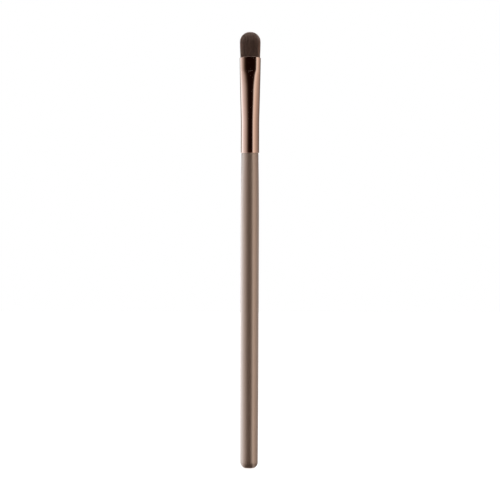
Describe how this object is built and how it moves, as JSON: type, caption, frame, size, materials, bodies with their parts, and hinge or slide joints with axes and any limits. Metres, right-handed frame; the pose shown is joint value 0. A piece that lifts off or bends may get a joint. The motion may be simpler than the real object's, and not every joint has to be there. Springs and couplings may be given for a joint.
{
  "type": "eyeshadow brush",
  "caption": "Flat eyeshadow brush: short domed tuft of soft hair in a polished ferrule, pressed flat at its mouth, on a slim round lacquered handle.",
  "frame": {"origin": "lowest point of the handle's rounded butt, on the brush's axis", "axes": "+Z along the brush from butt to tuft, X across the wide side of the flat tuft, Y through its thickness"},
  "size_m": [0.008, 0.007, 0.165],
  "materials": {
    "bare_wood": "turned hardwood, uncoated",
    "taupe_lacquer": "satin metallic lacquer",
    "adhesive": "cured adhesive",
    "rose_gold": "polished, rose-gold anodised",
    "resin": "cured clear epoxy",
    "thread": "waxed cotton thread",
    "hair": "soft dark-brown hair"
  },
  "bodies": {
    "shank": {"handle_core": "bare_wood", "handle_lacquer": "taupe_lacquer", "tenon_glue": "adhesive", "ferrule": "rose_gold", "root_plug": "resin", "hair_binding": "thread", "hair_roots": "hair"},
    "tuft": {"hair_tuft": "hair"}
  },
  "joints": [
    {"name": "tuft_flex", "type": "hinge", "parent": "shank", "child": "tuft", "pos_m": [0, 0, 0.1555], "axis": [1, 0, 0], "range_deg": [-30, 30], "stiffness_Nm_per_rad": 0.001}
  ]
}
